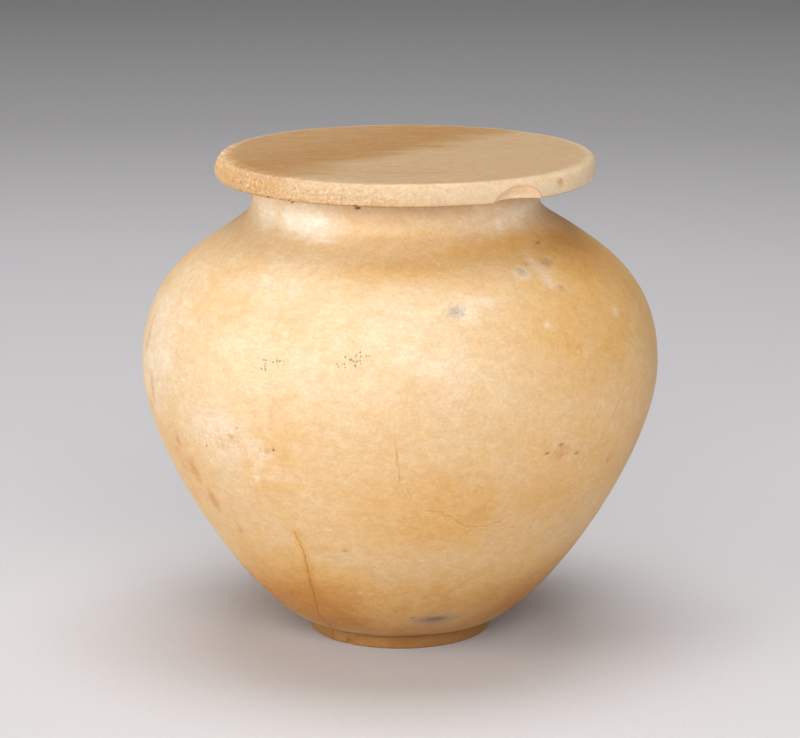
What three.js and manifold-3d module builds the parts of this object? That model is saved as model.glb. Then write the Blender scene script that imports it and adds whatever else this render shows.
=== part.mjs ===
// Lidded stone ointment jar: a hollow, broad-shouldered jar on a low disc foot,
// and a flat disc lid that rests loose on its mouth.
//
// Millimetres, +Z up. The origin is the centre of the foot's underside, and -Y is the front.

import * as THREE from 'three';
import { mergeVertices } from 'three/addons/utils/BufferGeometryUtils.js';
import Module from 'manifold-3d';

const { PI, sin, cos, max, round } = Math;
const { degToRad, smoothstep } = THREE.MathUtils;

// ---- Jar, outside ----------------------------------------------------------------------------

const BELLY_RADIUS = 50;
const BELLY_HEIGHT = 53.6; // height of the widest point
const FOOT_RADIUS = 17.8;
const FOOT_EDGE = 0.4; // rounding of the foot's bottom edge
const FOOT_HEIGHT = 2.8;
const FLANK_ROOT_RADIUS = 18.2; // where the flank meets the top of the foot
const FLANK_ROOT_ANGLE = degToRad(5); // the flank leaves the foot this far above level
const FLANK_ROOT_REACH = 8.9; // how far it holds that direction
const FLANK_BELLY_REACH = 17.8; // how far the flank stays upright below the belly
const SHOULDER_BELLY_REACH = 18; // how far the wall stays upright above the belly
const SHOULDER_ANGLE = degToRad(37); // slope of the shoulder where it meets the neck
const SHOULDER_REACH = 10.9;
const NECK_RADIUS = 27.6;
const NECK_HOLLOW = 4; // radius of the hollow between shoulder and neck
const NECK_HOLLOW_TOP = 85.7;
const NECK_TOP = 89.5;
const LIP_EDGE = 0.8; // rounding of the lip's two edges
const NECK_OFFSET = -0.85; // the neck stands this far to one side of the foot
const OFFSET_START = 78.5; // the neck starts to drift at this height

// ---- Jar, inside -----------------------------------------------------------------------------

const WALL = 8;
const FLOOR_THICKNESS = 12;
const FLOOR_REACH = 20; // how far the cavity's floor stays level
const CAVITY_FLANK_REACH = 26;
const CAVITY_SHOULDER_REACH = 15;
const MOUTH_RADIUS = 20.5;
const MOUTH_DEPTH = 8; // length of the straight bore through the neck
const MOUTH_REACH = 9; // how far the cavity's roof holds its slope
const MOUTH_ANGLE = degToRad(28);

// ---- Lid -------------------------------------------------------------------------------------

const LID_RADIUS = 36.6;
const LID_THICKNESS = 4.2;
const LID_WIDEST = 1.5; // height of the lid's widest line above its underside
const LID_LOWER_EDGE = 0.6; // how far the lower edge is drawn in
const LID_UPPER_EDGE = 1.2; // how far the upper edge is drawn in
const LID_OFFSET = 1; // the lid lies this far to one side of the foot's axis
const LID_GAP = 0.3; // clearance between the lip and the lid's underside
const BOSS_RADIUS = 17.8;
const BOSS_DEPTH = 2.6;
const BOSS_EDGE = 0.8;

// A shell-shaped flake is missing from the lid's lower edge, front right.
const CHIP_RADIUS = 8;
const CHIP_HEIGHT = 3.1; // how far the flake runs up the lid's side
const CHIP_WIDTH = 12; // its width along the lower edge
const CHIP_ANGLE = degToRad(35); // measured from the front towards +X

// ---- Facets ----------------------------------------------------------------------------------

const SIDES = 64;
const FACET_LENGTH = 5.5; // target length of a facet along the outline
const LEAST_FACETS = 3; // for the small curves
const CHIP_SIDES = 28;

const STONE = { color: 0xe3c08c, roughness: 0.42, metalness: 0 };
const LID_STONE = { color: 0xd6b98d, roughness: 0.45, metalness: 0 };

// ---- Outline helpers: x is the radius and y the height ------------------------------------------

// A smooth stretch from one point to another, leaving and arriving in given directions.
function sweepTo(path, leaveAngle, leaveReach, arriveAngle, arriveReach, radius, height) {
  const from = path.currentPoint;
  path.bezierCurveTo(
    from.x + leaveReach * cos(leaveAngle),
    from.y + leaveReach * sin(leaveAngle),
    radius - arriveReach * cos(arriveAngle),
    height - arriveReach * sin(arriveAngle),
    radius,
    height,
  );
}

// A circular or elliptical stretch about a centre, from one angle to another.
function arc(path, centreRadius, centreHeight, reachOut, reachUp, fromAngle, toAngle) {
  const clockwise = toAngle < fromAngle;
  path.absellipse(centreRadius, centreHeight, reachOut, reachUp, fromAngle, toAngle, clockwise);
}

// Points along an outline: a straight stretch is one step, a curve takes facets of even length.
function outlinePoints(path) {
  const points = [];
  for (const curve of path.curves) {
    const isStraight = curve.isLineCurve;
    const steps = isStraight ? 1 : max(LEAST_FACETS, round(curve.getLength() / FACET_LENGTH));
    const stretch = curve.getPoints(steps);
    if (points.length > 0) stretch.shift();
    points.push(...stretch);
  }
  return points;
}

function turn(path) {
  const points = outlinePoints(path);
  const geometry = new THREE.LatheGeometry(points, SIDES);
  geometry.rotateX(PI / 2);
  return geometry;
}

// ---- Solids ----------------------------------------------------------------------------------

const wasm = await Module();
wasm.setup();

function toSolid(geometry) {
  const bare = geometry.clone();
  bare.deleteAttribute('normal');
  bare.deleteAttribute('uv');
  const merged = mergeVertices(bare);
  const vertProperties = new Float32Array(merged.attributes.position.array);
  const triVerts = new Uint32Array(merged.index.array);
  return new wasm.Manifold(new wasm.Mesh({ numProp: 3, vertProperties, triVerts }));
}

function toGeometry(solid) {
  const { vertProperties, triVerts } = solid.getMesh();
  const geometry = new THREE.BufferGeometry();
  geometry.setAttribute('position', new THREE.BufferAttribute(vertProperties, 3));
  geometry.setIndex(new THREE.BufferAttribute(triVerts, 1));
  geometry.computeVertexNormals();
  return geometry;
}

// ---- Jar -------------------------------------------------------------------------------------

function addFoot(path) {
  path.moveTo(0, 0);
  path.lineTo(FOOT_RADIUS - FOOT_EDGE, 0);
  arc(path, FOOT_RADIUS - FOOT_EDGE, FOOT_EDGE, FOOT_EDGE, FOOT_EDGE, -PI / 2, 0);
  const step = FLANK_ROOT_RADIUS - FOOT_RADIUS;
  path.lineTo(FOOT_RADIUS, FOOT_HEIGHT - step / 2);
  arc(path, FLANK_ROOT_RADIUS, FOOT_HEIGHT - step / 2, step, step / 2, PI, PI / 2);
}

function addFlankAndShoulder(path) {
  sweepTo(
    path, FLANK_ROOT_ANGLE, FLANK_ROOT_REACH, PI / 2, FLANK_BELLY_REACH, BELLY_RADIUS, BELLY_HEIGHT,
  );
  const hollowCentre = NECK_RADIUS + NECK_HOLLOW;
  sweepTo(
    path, PI / 2, SHOULDER_BELLY_REACH, PI - SHOULDER_ANGLE, SHOULDER_REACH,
    hollowCentre - NECK_HOLLOW * sin(SHOULDER_ANGLE),
    NECK_HOLLOW_TOP - NECK_HOLLOW * cos(SHOULDER_ANGLE),
  );
  arc(path, hollowCentre, NECK_HOLLOW_TOP, NECK_HOLLOW, NECK_HOLLOW, 1.5 * PI - SHOULDER_ANGLE, PI);
}

function addLip(path) {
  path.lineTo(NECK_RADIUS, NECK_TOP - LIP_EDGE);
  arc(path, NECK_RADIUS - LIP_EDGE, NECK_TOP - LIP_EDGE, LIP_EDGE, LIP_EDGE, 0, PI / 2);
  path.lineTo(MOUTH_RADIUS + LIP_EDGE, NECK_TOP);
  arc(path, MOUTH_RADIUS + LIP_EDGE, NECK_TOP - LIP_EDGE, LIP_EDGE, LIP_EDGE, PI / 2, PI);
}

function addCavity(path) {
  path.lineTo(MOUTH_RADIUS, NECK_TOP - MOUTH_DEPTH);
  const cavityRadius = BELLY_RADIUS - WALL;
  sweepTo(
    path, -MOUTH_ANGLE, MOUTH_REACH, -PI / 2, CAVITY_SHOULDER_REACH, cavityRadius, BELLY_HEIGHT,
  );
  sweepTo(path, -PI / 2, CAVITY_FLANK_REACH, PI, FLOOR_REACH, 0, FLOOR_THICKNESS);
}

// The neck was cut a little to one side of the foot, and the mouth drifts with it.
function leanNeck(geometry) {
  const position = geometry.attributes.position;
  for (let i = 0; i < position.count; i += 1) {
    const drift = NECK_OFFSET * smoothstep(position.getZ(i), OFFSET_START, NECK_HOLLOW_TOP);
    position.setX(i, position.getX(i) + drift);
  }
  geometry.computeVertexNormals();
}

function makeJar() {
  const outline = new THREE.Path();
  addFoot(outline);
  addFlankAndShoulder(outline);
  addLip(outline);
  addCavity(outline);
  const geometry = turn(outline);
  leanNeck(geometry);
  const jar = new THREE.Mesh(geometry, new THREE.MeshStandardMaterial(STONE));
  jar.name = 'jar';
  return jar;
}

// ---- Lid: its underside is at height 0 in its own frame ------------------------------------------

function lidBlank() {
  const outline = new THREE.Path();
  outline.moveTo(0, -BOSS_DEPTH);
  outline.lineTo(BOSS_RADIUS - BOSS_EDGE, -BOSS_DEPTH);
  arc(outline, BOSS_RADIUS - BOSS_EDGE, BOSS_EDGE - BOSS_DEPTH, BOSS_EDGE, BOSS_EDGE, -PI / 2, 0);
  outline.lineTo(BOSS_RADIUS, 0);
  outline.lineTo(LID_RADIUS - LID_LOWER_EDGE, 0);
  arc(outline, LID_RADIUS - LID_LOWER_EDGE, LID_WIDEST, LID_LOWER_EDGE, LID_WIDEST, -PI / 2, 0);
  const upperRise = LID_THICKNESS - LID_WIDEST;
  arc(outline, LID_RADIUS - LID_UPPER_EDGE, LID_WIDEST, LID_UPPER_EDGE, upperRise, 0, PI / 2);
  outline.lineTo(0, LID_THICKNESS);
  return turn(outline);
}

// A ball whose section by the lid's side is an arc of the flake's width and height.
function chipCutter() {
  const halfWidth = CHIP_WIDTH / 2;
  const sectionRadius = (halfWidth ** 2 + CHIP_HEIGHT ** 2) / (2 * CHIP_HEIGHT);
  const standOff = (CHIP_RADIUS ** 2 - sectionRadius ** 2) ** 0.5;
  const reach = LID_RADIUS + standOff;
  const ball = new THREE.SphereGeometry(CHIP_RADIUS, CHIP_SIDES, CHIP_SIDES / 2);
  ball.translate(reach * sin(CHIP_ANGLE), -reach * cos(CHIP_ANGLE), CHIP_HEIGHT - sectionRadius);
  return ball;
}

function makeLid() {
  const chipped = toSolid(lidBlank()).subtract(toSolid(chipCutter()));
  const lid = new THREE.Mesh(toGeometry(chipped), new THREE.MeshStandardMaterial(LID_STONE));
  lid.name = 'lid';
  lid.position.set(LID_OFFSET, 0, NECK_TOP + LID_GAP);
  return lid;
}

const group = new THREE.Group();
group.add(makeJar(), makeLid());

export default group;
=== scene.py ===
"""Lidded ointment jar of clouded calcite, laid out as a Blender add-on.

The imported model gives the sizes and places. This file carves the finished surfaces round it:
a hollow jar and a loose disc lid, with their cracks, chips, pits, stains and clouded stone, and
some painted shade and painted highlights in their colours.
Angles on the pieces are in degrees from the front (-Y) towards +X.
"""

import math
import random

import bmesh
import bpy
import numpy as np
from bpy.props import FloatProperty, FloatVectorProperty, PointerProperty
from bpy.types import Operator, Panel, PropertyGroup
from mathutils import Matrix, Vector, noise


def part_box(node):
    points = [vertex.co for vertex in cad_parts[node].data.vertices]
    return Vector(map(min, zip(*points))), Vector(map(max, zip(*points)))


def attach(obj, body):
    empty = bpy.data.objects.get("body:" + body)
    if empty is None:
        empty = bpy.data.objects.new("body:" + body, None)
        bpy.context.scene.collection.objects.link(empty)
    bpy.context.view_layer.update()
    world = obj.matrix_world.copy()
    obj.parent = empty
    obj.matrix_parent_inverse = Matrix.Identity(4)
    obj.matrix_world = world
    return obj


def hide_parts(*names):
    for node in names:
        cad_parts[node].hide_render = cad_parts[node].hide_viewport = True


bl_info = {
    "name": "Lidded Ointment Jar",
    "version": (1, 0, 0),
    "blender": (4, 5, 0),
    "location": "View3D > Sidebar > Ointment Jar",
    "description": "Carves a lidded calcite ointment jar and sets its studio stage",
    "category": "Add Mesh",
}

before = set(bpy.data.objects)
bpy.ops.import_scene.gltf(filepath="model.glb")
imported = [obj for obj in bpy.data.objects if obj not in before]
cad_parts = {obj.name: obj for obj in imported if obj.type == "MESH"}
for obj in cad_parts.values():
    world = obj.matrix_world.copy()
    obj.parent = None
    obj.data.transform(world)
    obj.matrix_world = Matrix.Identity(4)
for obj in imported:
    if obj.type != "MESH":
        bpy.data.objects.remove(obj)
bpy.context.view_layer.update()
_, JAR_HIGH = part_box("jar")
LID_LOW, LID_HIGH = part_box("lid")
MM = 0.001
BODY = "root"


def srgb(red, green, blue):
    """A colour given in 0 to 255 screen values, as the linear values that Blender keeps."""
    shares = np.array([red, green, blue]) / 255.0
    linear = np.where(shares <= 0.04045, shares / 12.92, ((shares + 0.055) / 1.055) ** 2.4)
    return tuple(float(value) for value in linear)


def length(label, about, metres):
    """A length property."""
    return FloatProperty(
        name=label, description=about, default=metres, min=0.0, unit="LENGTH", precision=4
    )


def share(label, about, value, most=1.0):
    """A plain number property."""
    return FloatProperty(name=label, description=about, default=value, min=0.0, max=most)


def shade(label, about, value):
    """A colour property."""
    return FloatVectorProperty(
        name=label, description=about, default=value, size=3, min=0.0, max=1.0, subtype="COLOR"
    )


# ---- Settings ----------------------------------------------------


class JarSizes(PropertyGroup):
    """Sizes of the jar's outline, wall and wear."""

    belly_radius: length("Belly radius", "Half the greatest width", JAR_HIGH.x)
    belly_height: length("Belly height", "Height of the widest line", 53.6 * MM)
    belly_below: length("Fullness below", "How far the flank stays upright below it", 17.8 * MM)
    belly_above: length("Fullness above", "How far the wall stays upright above it", 18.0 * MM)
    foot_radius: length("Foot radius", "Half the width of the disc foot", 17.8 * MM)
    foot_height: length("Foot height", "Height of the disc foot", 2.8 * MM)
    foot_edge: length("Foot edge", "Rounding of the foot's lower edge", 0.4 * MM)
    root_step: length("Foot groove", "Step between the foot and the flank", 0.4 * MM)
    root_reach: length("Flank spread", "How far the flank spreads nearly level", 8.9 * MM)
    neck_radius: length("Neck radius", "Half the width of the neck", 27.6 * MM)
    neck_hollow: length("Neck hollow", "Radius of the hollow under the neck", 4.0 * MM)
    neck_straight: length("Neck", "Straight part of the neck, lip and all", 3.8 * MM)
    neck_offset: length("Neck offset", "How far the neck stands to the left", 0.85 * MM)
    shoulder_reach: length("Shoulder reach", "How far the shoulder holds its slope", 10.9 * MM)
    lip_edge: length("Lip edge", "Rounding of the lip", 0.8 * MM)
    mouth_radius: length("Mouth radius", "Half the width of the mouth", 20.5 * MM)
    mouth_depth: length("Mouth depth", "Length of the bore through the neck", 8.0 * MM)
    wall: length("Wall", "Thickness of the wall at the belly", 8.0 * MM)
    floor: length("Floor", "Thickness of the floor", 12.0 * MM)
    drill_step: length("Drill step", "Spacing of the rings left by the drill", 5.0 * MM)
    wobble: length("Wobble", "Unevenness left by carving by hand", 0.07 * MM)


class LidSizes(PropertyGroup):
    """Sizes of the lid's outline and wear."""

    radius: length("Radius", "Half the lid's width", (LID_HIGH.x - LID_LOW.x) / 2)
    thickness: length("Thickness", "Thickness of the disc", 4.2 * MM)
    widest: length("Widest line", "Height of the widest line", 1.5 * MM)
    lower_edge: length("Lower edge", "How far the lower edge is drawn in", 0.6 * MM)
    upper_edge: length("Upper edge", "How far the upper edge is drawn in", 1.2 * MM)
    boss_radius: length("Boss radius", "Half the width of the boss underneath", 17.8 * MM)
    boss_edge: length("Boss edge", "Rounding of the boss", 0.8 * MM)
    chip_radius: length("Flake radius", "Radius of the missing flake's hollow", 8.0 * MM)
    chip_height: length("Flake height", "How far the flake runs up the side", 3.1 * MM)
    chip_width: length("Flake width", "Width of the flake along the edge", 12.0 * MM)
    wobble: length("Wobble", "Unevenness left by carving by hand", 0.06 * MM)


class StoneLook(PropertyGroup):
    """Colours and surface of the stone."""

    cream: shade("Cream", "Main colour of the jar", srgb(218, 195, 161))
    honey: shade("Honey", "Warmer zones of the stone", srgb(214, 169, 104))
    amber: shade("Amber", "Deepest zones of the stone", srgb(188, 126, 46))
    # Also the colour of the painted highlight laid by the pale marks.
    cloud_and_highlight: shade("Cloud", "Pale clouds in the stone", srgb(232, 219, 199))
    # Painted light: the flake's hollow is coloured paler, standing for light that its shade takes
    # away.
    lit_flake: shade("Fresh stone", "Stone inside the lid's flake", srgb(240, 214, 178))
    umber: shade("Umber", "Brown band across the lid", srgb(172, 119, 50))
    tan: shade("Tan", "Main colour of the lid", srgb(196, 163, 122))
    rust: shade("Rust", "Orange-brown stains", srgb(190, 126, 56))
    soil: shade("Soil", "Dirt in cracks, pits and seams", srgb(82, 51, 25))
    grey: shade("Grey", "Weathered grey patches", srgb(150, 129, 112))
    roughness: share("Roughness", "Roughness of the rubbed surface", 0.44)
    glow: share("Glow", "How much light enters the stone", 0.45)
    glow_depth: length("Glow depth", "How far light travels in the stone", 2.2 * MM)


class StageLook(PropertyGroup):
    """Floor, lights and camera."""

    paper_tint: shade("Paper tint", "Tint of the paper", (1.0, 0.975, 0.995))
    # Middle of the painted fall-off of light on the paper.
    painted_light_middle: FloatVectorProperty(
        name="Paper middle", description="Brightest place on the paper",
        default=(-0.06, 0.0, 0.0), size=3, subtype="TRANSLATION",
    )
    power: share("Light power", "Scales the power of every light", 1.03, 100.0)
    sky: share("Sky", "Brightness of the light from all round", 0.03, 10.0)
    camera_distance: length("Camera distance", "Level distance from the jar's axis", 0.594)
    camera_height: length("Camera height", "Height of the lens", 0.191)
    camera_pitch: FloatProperty(
        name="Camera pitch", description="How far the camera looks down",
        default=math.radians(13.226), subtype="ANGLE",
    )
    lens: FloatProperty(
        name="Lens", description="Focal length", default=140.9, min=1.0, unit="CAMERA"
    )


# ---- Wear, painted shade and painted highlights, each placed by angle in degrees and height in millimetres ----

CRACKS = {
    "front": [
        (-1, 51), (-0.5, 45), (0, 41), (2, 39), (3, 37.5), (5, 35.5), (8.5, 35),
        (12.5, 33.5), (15.5, 31.5), (21, 31), (25, 31.5), (28, 33),
    ],
    "through_foot": [
        (-28, 29), (-27, 25), (-28, 21), (-29, 18), (-30, 15.5), (-31, 13.5), (-33, 10.5),
        (-35, 8.5), (-35, 6.5), (-37.5, 4), (-41, 3.3), (-44, 2.9), (-47, 1.6), (-47.5, 0.2),
    ],
    "right": [(57.5, 55.5), (53.5, 50.5), (51.5, 47), (49, 44), (48, 42)],
    "right_short": [(48, 57), (47.5, 50)],
    "back": [(196, 60), (193, 52), (195, 46), (190, 39), (188, 34)],
}
# Width and depth of each crack in millimetres, and how dark it is.
CRACK_KINDS = {
    "front": (0.13, 0.09, 0.8),
    "through_foot": (0.13, 0.16, 0.85),
    "right": (0.12, 0.06, 0.7),
    "right_short": (0.12, 0.04, 0.4),
    "back": (0.12, 0.07, 0.45),
}
SCRATCH = [(8.5, 81), (11, 79.4), (14.5, 77.3)]

# Marks: angle, height, half width, half height (millimetres) and strength.
GREY_MARKS = [
    (13.5, 71.9, 2.0, 1.6, 0.72), (36.5, 76.8, 1.4, 1.3, 0.66), (40, 77.6, 0.9, 0.8, 0.55),
    (48, 77.5, 1.9, 1.2, 0.66), (45.5, 73.6, 1.1, 0.9, 0.58), (14, 8.6, 4.6, 2.3, 0.9),
    (150, 66, 2.4, 1.6, 0.7), (-118, 74, 1.6, 1.3, 0.6), (12, 82.5, 0.8, 0.6, 0.5),
]
RUST_MARKS = [
    (-60, 43.5, 1.4, 1.8, 0.7), (-57, 38, 2.2, 2.6, 0.75), (-54, 32, 1.6, 2.6, 0.75),
    (-48, 27, 1.4, 1.6, 0.6), (-38, 47.5, 2.6, 0.9, 0.6), (-30, 46, 1.8, 0.7, 0.6),
    (-14.5, 26, 0.8, 0.6, 0.8), (38, 44.5, 3.0, 1.9, 0.55),
    (56, 40, 0.8, 0.8, 0.8), (58.5, 17.5, 2.0, 2.0, 0.6), (-70, 52, 1.6, 3.4, 0.6),
    (-76, 60, 1.5, 5.0, 0.5), (-62, 40, 5.0, 5.0, 0.42), (-42, 46, 5.0, 3.0, 0.36),
    (62, 76, 8.0, 4.0, 0.34), (76, 70, 4.0, 8.0, 0.36), (-66, 30, 3.0, 5.0, 0.4),
    (30, 79, 7.0, 2.4, 0.3), (120, 40, 2.4, 3.2, 0.5), (-150, 30, 2.0, 2.6, 0.6),
]
SOIL_MARKS = [
    (33.5, 45, 0.7, 0.35, 0.8), (37, 46.2, 0.9, 0.4, 0.8), (42.5, 44, 0.8, 0.4, 0.7),
    (-44, 88.2, 0.5, 0.5, 1.0), (-14.5, 88.1, 0.6, 0.35, 1.0), (-28, 46.5, 0.4, 0.4, 0.8),
    (14.5, 8.7, 3.6, 1.6, 0.55), (53, 80.2, 1.3, 0.4, 0.6), (57, 78.8, 1.6, 0.5, 0.45),
    (63, 75.5, 2.0, 0.6, 0.4), (18, 79.6, 0.5, 0.4, 0.4), (-47.5, 44.7, 0.4, 0.4, 0.8),
    (-37, 49.7, 0.5, 0.3, 0.7), (5, 9.5, 0.5, 0.3, 0.7),
]
# Painted shade: soft darkening of the lower right, the right shoulder and flank, and the foot,
# where less light falls.
PAINTED_SHADE_MARKS = [
    (38, 13, 24, 9, 0.13), (40, 32, 22, 9, 0.08), (62, 71, 20, 9, 0.09), (76, 55, 7, 20, 0.08),
    (40, 2, 14, 3, 0.08),
]
# Pale spots and clouds in the stone, and painted highlight: the glow on the left of the neck under
# the lid, and a brighter neck on the right where the lid shades it. The broad marks on the left of
# the belly make its most lit side paler.
PALE_AND_HIGHLIGHT_MARKS = [
    (-38, 84.5, 8.0, 2.6, 1.0), (-28, 82.2, 3.5, 2.0, 0.8), (-62, 85, 8.0, 3.0, 0.7),
    (-34, 40, 0.7, 0.7, 1.0), (15, 71.5, 3.4, 2.6, 0.8), (20, 73, 4.6, 1.4, 0.6),
    (36, 76.6, 2.4, 2.0, 0.6), (16, 86.5, 14, 2.2, 0.35), (56, 84.5, 14, 3.4, 0.8),
    (35.5, 68.5, 0.9, 0.7, 0.8), (12, 82.5, 0.9, 0.7, 0.5), (43, 76, 2.0, 5.5, 0.6),
    (-62, 66, 2.4, 6.0, 0.45), (33, 88, 0.9, 0.7, 1.0), (60, 68, 1.6, 1.2, 0.6),
    (170, 50, 6.0, 8.0, 0.4), (-130, 60, 5.0, 9.0, 0.4), (-68, 62, 12, 18, 0.65),
    (-42, 46, 16, 8, 0.6), (-25, 62, 18, 14, 0.35), (2, 66, 12, 7, 0.5), (-40, 76, 18, 6, 0.5),
]
# These add up; 1 is full honey and 2 is amber.
# The mark at -32 degrees and 16 mm, low on the left front, is partly painted glow of light through
# the stone.
HONEY_AND_GLOW_MARKS = [
    (78, 60, 40, 34, 0.55), (44, 81.5, 16, 3.0, 0.5), (70, 78, 12, 6, 0.7), (24, 34, 36, 11, 0.6),
    (-74, 64, 20, 24, -0.3), (-44, 50, 12, 8, -0.2), (-15, 66, 20, 14, -0.15), (0, 70, 14, 5, -0.2),
    (-32, 16, 11, 7, 0.95), (-60, 35, 7, 8, 0.5), (-4, 78, 14, 3, 0.3), (-48, 24, 9, 5, 0.4),
    (-40, 77, 8, 3, 0.25), (-28, 45, 5, 9, 0.15), (150, 45, 50, 40, 0.4), (195, 25, 20, 12, 0.5),
    (-150, 55, 22, 18, 0.3), (-135, 78, 16, 6, 0.4), (60, 14, 14, 9, 0.6), (-72, 12, 9, 5, 0.8),
    (-50, 9, 14, 5, 0.9), (-80, 36, 7, 12, 0.5), (80, 26, 9, 16, 0.8), (10, 5, 24, 3, 0.5),
    (68, 9, 9, 4, 0.6), (28, 14, 20, 6, 0.3), (-30, 7, 7, 3, 0.5), (74, 74, 14, 8, 0.25),
    (46, 67, 18, 10, 0.35),
]
# Clusters of pinholes: angle, height, half width, half height and number.
PINHOLES = [
    (-9.0, 64.6, 2.2, 1.2, 17), (-12.5, 64.0, 1.3, 1.4, 6), (-27, 63.0, 1.6, 0.3, 6),
    (-30, 61.8, 0.7, 1.6, 7), (-9.4, 63.2, 0.2, 0.2, 2),
]

# The three marks at about 90 mm run along the lid's lower edge: rust with painted shade under the
# edge.
LID_RUST_AND_SHADE_MARKS = [
    (51.5, 92.3, 1.0, 0.8, 0.8), (-82, 92.4, 9.0, 3.0, 0.3), (-58, 92, 8.0, 1.6, 0.25),
    (-98, 92, 6.0, 2.0, 0.4), (13, 92.8, 1.0, 0.7, 0.4), (150, 92, 7.0, 1.6, 0.4),
    (-12, 89.9, 9.0, 0.25, 0.7), (8, 89.9, 9.0, 0.2, 0.7), (-36, 90.2, 5.0, 0.3, 0.6),
]
LID_SOIL_MARKS = [
    (-44, 90.1, 0.45, 0.25, 0.8), (-14.5, 90.0, 0.7, 0.2, 0.8), (-57, 91.8, 0.3, 0.4, 0.6),
    (-64, 91.4, 0.25, 0.3, 0.6), (-80, 91.8, 0.4, 0.4, 0.5), (25, 90.1, 0.5, 0.2, 0.5),
    (-36, 90.0, 0.4, 0.15, 0.7), (-22, 89.9, 0.6, 0.12, 0.6),
]
LID_GRANULAR = [(-20, 91.4, 15, 2.4, 0.8), (-48, 91.8, 15, 2.8, 1), (-84, 92.2, 12, 3.2, 1)]
# Painted shade with soil: a dark band along the lid's lower edge, where it sits on the neck.
LID_EDGE_SHADE_MARKS = [(-8, 90, 22, 2, 1), (-40, 90, 10, 2, 0.8)]
LID_HONEY = [(-86, 92.2, 14, 4, 0.7), (-55, 91.2, 9, 1.6, 0.5), (-20, 90.6, 10, 0.8, 0.4)]
LID_WORN = [(-62, 94.5, 14, 2.6, 1), (-92, 94, 14, 3.6, 1), (-25, 94.2, 14, 1.2, 0.5)]
FLAKE_ANGLE = 35.0
# Small chips: angle, height (millimetres) and radius.
LID_CHIPS = [
    (-30.5, 94.1, 0.8), (-84, 94.0, 1.5), (-92, 90.2, 1.6), (-76, 90.0, 1.2), (98, 94.1, 0.8),
    (165, 89.8, 1.6), (-150, 94.2, 0.9), (72, 89.8, 0.7),
]
FOOT_CHIPS = [(-34, 0.4, 1.0), (20, -0.2, 0.7), (110, 0.0, 1.1), (-140, 0.1, 0.9)]


# ---- Outlines: points of radius and height, in metres ------------

SMOOTH_STEPS = 80
SKIN_SPACING = 0.66 * MM  # between rings on the jar's visible wall
CAVITY_SPACING = 1.5 * MM
FLANK_RISE = math.radians(5)  # the flank leaves the foot this far above level
SHOULDER_SLOPE = math.radians(37)  # of the shoulder where it meets the neck
ROOF_REACH = (7.9 * MM, -4.2 * MM)  # how far out and down the cavity's roof holds its slope
CAVITY_ABOVE, CAVITY_BELOW = 15 * MM, 26 * MM  # how far its wall stays upright at the belly
CAVITY_FLOOR_REACH = 20 * MM  # how far its floor stays level
UNDER_STRIP, TOP_STRIP = 5 * MM, 3 * MM  # finer rings along the lid's two edges


def cubic(start, leaving, arriving, end):
    """Points of a smooth stretch; leaving and arriving are its two handles."""
    t = np.linspace(0.0, 1.0, SMOOTH_STEPS)[:, None]
    weights = np.hstack([(1 - t) ** 3, 3 * t * (1 - t) ** 2, 3 * t * t * (1 - t), t**3])
    return weights @ np.array([start, leaving, arriving, end])


def arc(centre, reach, first, last):
    """Points of a round or elliptical stretch between two angles in degrees."""
    turn = np.radians(np.linspace(first, last, SMOOTH_STEPS))
    return np.stack([centre[0] + reach[0] * np.cos(turn), centre[1] + reach[1] * np.sin(turn)], 1)


def straight(start, end):
    """The two ends of a straight stretch."""
    return np.array([start, end])


def even_points(stretch, spacing):
    """The same stretch with its points an even distance apart."""
    steps = np.linalg.norm(np.diff(stretch, axis=0), axis=1)
    along = np.concatenate([[0.0], np.cumsum(steps)])
    count = max(1, round(along[-1] / spacing)) + 1
    wanted = np.linspace(0.0, along[-1], count)
    return np.stack([np.interp(wanted, along, stretch[:, k]) for k in (0, 1)], 1)


def join(stretches):
    """One outline from stretches, each given with its point spacing."""
    points = []
    for stretch, spacing in stretches:
        points.extend(even_points(stretch, spacing)[1 if points else 0 :])
    return np.array(points)


def jar_flank(s):
    """From the foot up to the belly."""
    root = (s.foot_radius + s.root_step, s.foot_height)
    spread = (
        root[0] + s.root_reach * math.cos(FLANK_RISE),
        root[1] + s.root_reach * math.sin(FLANK_RISE),
    )
    below = (s.belly_radius, s.belly_height - s.belly_below)
    return cubic(root, spread, below, (s.belly_radius, s.belly_height))


def jar_shoulder(s):
    """From the belly up to the hollow under the neck, and that hollow."""
    across, up = math.cos(SHOULDER_SLOPE), math.sin(SHOULDER_SLOPE)
    centre = (s.neck_radius + s.neck_hollow, JAR_HIGH.z - s.neck_straight)
    end = (centre[0] - s.neck_hollow * up, centre[1] - s.neck_hollow * across)
    arriving = (end[0] + s.shoulder_reach * across, end[1] - s.shoulder_reach * up)
    above = (s.belly_radius, s.belly_height + s.belly_above)
    sweep = cubic((s.belly_radius, s.belly_height), above, arriving, end)
    hollow = arc(centre, (s.neck_hollow, s.neck_hollow), 270 - math.degrees(SHOULDER_SLOPE), 180)
    return sweep, hollow


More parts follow.
